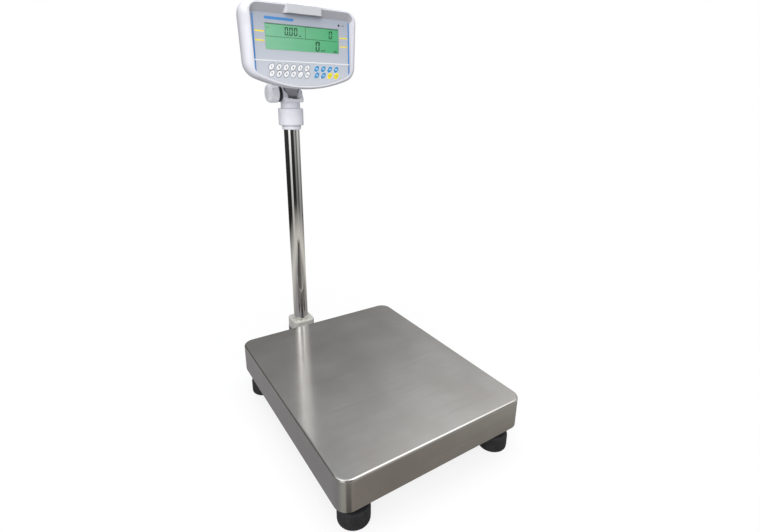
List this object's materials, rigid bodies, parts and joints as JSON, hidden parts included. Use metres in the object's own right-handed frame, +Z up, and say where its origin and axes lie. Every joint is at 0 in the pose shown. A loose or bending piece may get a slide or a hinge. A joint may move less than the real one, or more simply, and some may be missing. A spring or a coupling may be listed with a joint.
{
  "type": "counting scale",
  "caption": "Column counting scale: steel pan on a load cell and adjustable feet, rear column with a swivelling, tilting indicator carrying an LCD and a membrane keypad.",
  "frame": {"origin": "on the floor, under the middle of the scale's overall outline", "axes": "+X to the user's right, +Y from the front of the pan towards the column, +Z up"},
  "size_m": [0.4, 0.655, 0.8555],
  "materials": {
    "brushed_pan": "fine brushed grain along the length",
    "frame_paint": "satin powder coat",
    "cell_aluminium": "clear anodised",
    "bolt_steel": "zinc plated",
    "black_rubber": "matte moulded",
    "chrome_tube": "bright polished",
    "grey_plastic": "fine moulded grain",
    "bracket_plastic": "fine moulded grain",
    "black_plastic": "satin",
    "white_plastic": "satin moulded",
    "silver_overlay": "printed silver film",
    "window_clear": "clear film",
    "lcd_green": "green backlit glass",
    "board_green": "solder mask",
    "label_silver": "silver film",
    "cable_grey": "satin sheath",
    "key_white": "embossed film",
    "key_blue": "embossed film",
    "key_yellow": "embossed film"
  },
  "bodies": {
    "base": {"base_frame": "frame_paint", "load_cell": "cell_aluminium", "cell_base_bolts": "bolt_steel", "overload_stops": "bolt_steel", "foot_lock_nuts": "bolt_steel", "column_arm": "frame_paint", "column_bolts": "bolt_steel", "column_socket": "grey_plastic", "column_tube": "chrome_tube", "load_cell_cable": "cable_grey", "column_collar": "grey_plastic"},
    "deck": {"platform_spider": "frame_paint", "cell_deck_bolts": "bolt_steel", "pan_cushions": "black_rubber"},
    "pan": {"weighing_pan": "brushed_pan"},
    "head": {"swivel_yoke": "grey_plastic", "tilt_bolt": "black_plastic", "indicator_cable": "cable_grey"},
    "washer": {"knob_washer": "black_plastic"},
    "knob": {"tilt_knob": "grey_plastic"},
    "indicator": {"mounting_bracket": "bracket_plastic", "front_housing": "white_plastic", "rear_housing": "white_plastic", "housing_screws": "bolt_steel", "keypad_overlay": "silver_overlay", "lcd_window": "window_clear", "lcd_module": "lcd_green", "main_board": "board_green", "battery": "black_plastic", "label_tab": "label_silver", "rear_sockets": "black_plastic"},
    "rocker": {"power_switch": "black_plastic"},
    "foot_1": {"foot_pad_1": "black_rubber"},
    "stud_1": {"foot_stud_1": "bolt_steel"},
    "foot_2": {"foot_pad_2": "black_rubber"},
    "stud_2": {"foot_stud_2": "bolt_steel"},
    "foot_3": {"foot_pad_3": "black_rubber"},
    "stud_3": {"foot_stud_3": "bolt_steel"},
    "foot_4": {"foot_pad_4": "black_rubber"},
    "stud_4": {"foot_stud_4": "bolt_steel"},
    "keycap_white_01": {"key_white_01": "key_white"},
    "keycap_white_02": {"key_white_02": "key_white"},
    "keycap_white_03": {"key_white_03": "key_white"},
    "keycap_white_04": {"key_white_04": "key_white"},
    "keycap_white_05": {"key_white_05": "key_white"},
    "keycap_white_06": {"key_white_06": "key_white"},
    "keycap_white_07": {"key_white_07": "key_white"},
    "keycap_white_08": {"key_white_08": "key_white"},
    "keycap_white_09": {"key_white_09": "key_white"},
    "keycap_white_10": {"key_white_10": "key_white"},
    "keycap_white_11": {"key_white_11": "key_white"},
    "keycap_white_12": {"key_white_12": "key_white"},
    "keycap_blue_1": {"key_blue_1": "key_blue"},
    "keycap_blue_2": {"key_blue_2": "key_blue"},
    "keycap_blue_3": {"key_blue_3": "key_blue"},
    "keycap_blue_4": {"key_blue_4": "key_blue"},
    "keycap_blue_5": {"key_blue_5": "key_blue"},
    "keycap_blue_6": {"key_blue_6": "key_blue"},
    "keycap_yellow_1": {"key_yellow_1": "key_yellow"},
    "keycap_yellow_2": {"key_yellow_2": "key_yellow"}
  },
  "joints": [
    {"name": "deck_deflection", "type": "slide", "parent": "base", "child": "deck", "axis": [0, 0, -1], "range_m": [0, 0.0008], "stiffness_N_per_m": 1500000, "deforming": ["load_cell"]},
    {"name": "pan_lift_off", "type": "slide", "parent": "deck", "child": "pan", "axis": [0, 0, 1], "range_m": [0, 0.08]},
    {"name": "display_swivel", "type": "hinge", "parent": "base", "child": "head", "pos_m": [0, 0.2975, 0.64], "axis": [0, 0, 1], "range_deg": [-170, 170]},
    {"name": "display_tilt", "type": "hinge", "parent": "head", "child": "indicator", "pos_m": [0, 0.2975, 0.672], "axis": [1, 0, 0], "range_deg": [-60, 20], "deforming": ["indicator_cable"]},
    {"name": "knob_release", "type": "slide", "parent": "head", "child": "washer", "axis": [-1, 0, 0], "range_m": [0, 0.00125]},
    {"name": "knob_turn", "type": "hinge", "parent": "washer", "child": "knob", "pos_m": [0, 0.2975, 0.672], "axis": [-1, 0, 0], "range_deg": [0, 361]},
    {"name": "power_rocker", "type": "hinge", "parent": "indicator", "child": "rocker", "pos_m": [-0.08, 0.2699, 0.74], "axis": [1, 0, 0], "range_deg": [0, 14]},
    {"name": "foot_1_height", "type": "slide", "parent": "base", "child": "foot_1", "axis": [0, 0, -1], "range_m": [0, 0.012]},
    {"name": "foot_1_turn", "type": "hinge", "parent": "foot_1", "child": "stud_1", "pos_m": [-0.16, -0.2945, 0.05], "axis": [0, 0, -1], "range_deg": [0, 2881]},
    {"name": "foot_2_height", "type": "slide", "parent": "base", "child": "foot_2", "axis": [0, 0, -1], "range_m": [0, 0.012]},
    {"name": "foot_2_turn", "type": "hinge", "parent": "foot_2", "child": "stud_2", "pos_m": [0.16, -0.2945, 0.05], "axis": [0, 0, -1], "range_deg": [0, 2881]},
    {"name": "foot_3_height", "type": "slide", "parent": "base", "child": "foot_3", "axis": [0, 0, -1], "range_m": [0, 0.012]},
    {"name": "foot_3_turn", "type": "hinge", "parent": "foot_3", "child": "stud_3", "pos_m": [-0.167, 0.1265, 0.05], "axis": [0, 0, -1], "range_deg": [0, 2881]},
    {"name": "foot_4_height", "type": "slide", "parent": "base", "child": "foot_4", "axis": [0, 0, -1], "range_m": [0, 0.012]},
    {"name": "foot_4_turn", "type": "hinge", "parent": "foot_4", "child": "stud_4", "pos_m": [0.167, 0.1265, 0.05], "axis": [0, 0, -1], "range_deg": [0, 2881]},
    {"name": "key_white_01_press", "type": "slide", "parent": "indicator", "child": "keycap_white_01", "axis": [0, 1, 0], "range_m": [0, 0.0004], "stiffness_N_per_m": 4000},
    {"name": "key_white_02_press", "type": "slide", "parent": "indicator", "child": "keycap_white_02", "axis": [0, 1, 0], "range_m": [0, 0.0004], "stiffness_N_per_m": 4000},
    {"name": "key_white_03_press", "type": "slide", "parent": "indicator", "child": "keycap_white_03", "axis": [0, 1, 0], "range_m": [0, 0.0004], "stiffness_N_per_m": 4000},
    {"name": "key_white_04_press", "type": "slide", "parent": "indicator", "child": "keycap_white_04", "axis": [0, 1, 0], "range_m": [0, 0.0004], "stiffness_N_per_m": 4000},
    {"name": "key_white_05_press", "type": "slide", "parent": "indicator", "child": "keycap_white_05", "axis": [0, 1, 0], "range_m": [0, 0.0004], "stiffness_N_per_m": 4000},
    {"name": "key_white_06_press", "type": "slide", "parent": "indicator", "child": "keycap_white_06", "axis": [0, 1, 0], "range_m": [0, 0.0004], "stiffness_N_per_m": 4000},
    {"name": "key_white_07_press", "type": "slide", "parent": "indicator", "child": "keycap_white_07", "axis": [0, 1, 0], "range_m": [0, 0.0004], "stiffness_N_per_m": 4000},
    {"name": "key_white_08_press", "type": "slide", "parent": "indicator", "child": "keycap_white_08", "axis": [0, 1, 0], "range_m": [0, 0.0004], "stiffness_N_per_m": 4000},
    {"name": "key_white_09_press", "type": "slide", "parent": "indicator", "child": "keycap_white_09", "axis": [0, 1, 0], "range_m": [0, 0.0004], "stiffness_N_per_m": 4000},
    {"name": "key_white_10_press", "type": "slide", "parent": "indicator", "child": "keycap_white_10", "axis": [0, 1, 0], "range_m": [0, 0.0004], "stiffness_N_per_m": 4000},
    {"name": "key_white_11_press", "type": "slide", "parent": "indicator", "child": "keycap_white_11", "axis": [0, 1, 0], "range_m": [0, 0.0004], "stiffness_N_per_m": 4000},
    {"name": "key_white_12_press", "type": "slide", "parent": "indicator", "child": "keycap_white_12", "axis": [0, 1, 0], "range_m": [0, 0.0004], "stiffness_N_per_m": 4000},
    {"name": "key_blue_1_press", "type": "slide", "parent": "indicator", "child": "keycap_blue_1", "axis": [0, 1, 0], "range_m": [0, 0.0004], "stiffness_N_per_m": 4000},
    {"name": "key_blue_2_press", "type": "slide", "parent": "indicator", "child": "keycap_blue_2", "axis": [0, 1, 0], "range_m": [0, 0.0004], "stiffness_N_per_m": 4000},
    {"name": "key_blue_3_press", "type": "slide", "parent": "indicator", "child": "keycap_blue_3", "axis": [0, 1, 0], "range_m": [0, 0.0004], "stiffness_N_per_m": 4000},
    {"name": "key_blue_4_press", "type": "slide", "parent": "indicator", "child": "keycap_blue_4", "axis": [0, 1, 0], "range_m": [0, 0.0004], "stiffness_N_per_m": 4000},
    {"name": "key_blue_5_press", "type": "slide", "parent": "indicator", "child": "keycap_blue_5", "axis": [0, 1, 0], "range_m": [0, 0.0004], "stiffness_N_per_m": 4000},
    {"name": "key_blue_6_press", "type": "slide", "parent": "indicator", "child": "keycap_blue_6", "axis": [0, 1, 0], "range_m": [0, 0.0004], "stiffness_N_per_m": 4000},
    {"name": "key_yellow_1_press", "type": "slide", "parent": "indicator", "child": "keycap_yellow_1", "axis": [0, 1, 0], "range_m": [0, 0.0004], "stiffness_N_per_m": 4000},
    {"name": "key_yellow_2_press", "type": "slide", "parent": "indicator", "child": "keycap_yellow_2", "axis": [0, 1, 0], "range_m": [0, 0.0004], "stiffness_N_per_m": 4000}
  ],
  "couplings": [
    {"joint": "knob_turn", "follows": "knob_release", "rad_per_m": 5026.5},
    {"joint": "foot_1_turn", "follows": "foot_1_height", "rad_per_m": 4188.8},
    {"joint": "foot_2_turn", "follows": "foot_2_height", "rad_per_m": 4188.8},
    {"joint": "foot_3_turn", "follows": "foot_3_height", "rad_per_m": 4188.8},
    {"joint": "foot_4_turn", "follows": "foot_4_height", "rad_per_m": 4188.8}
  ]
}
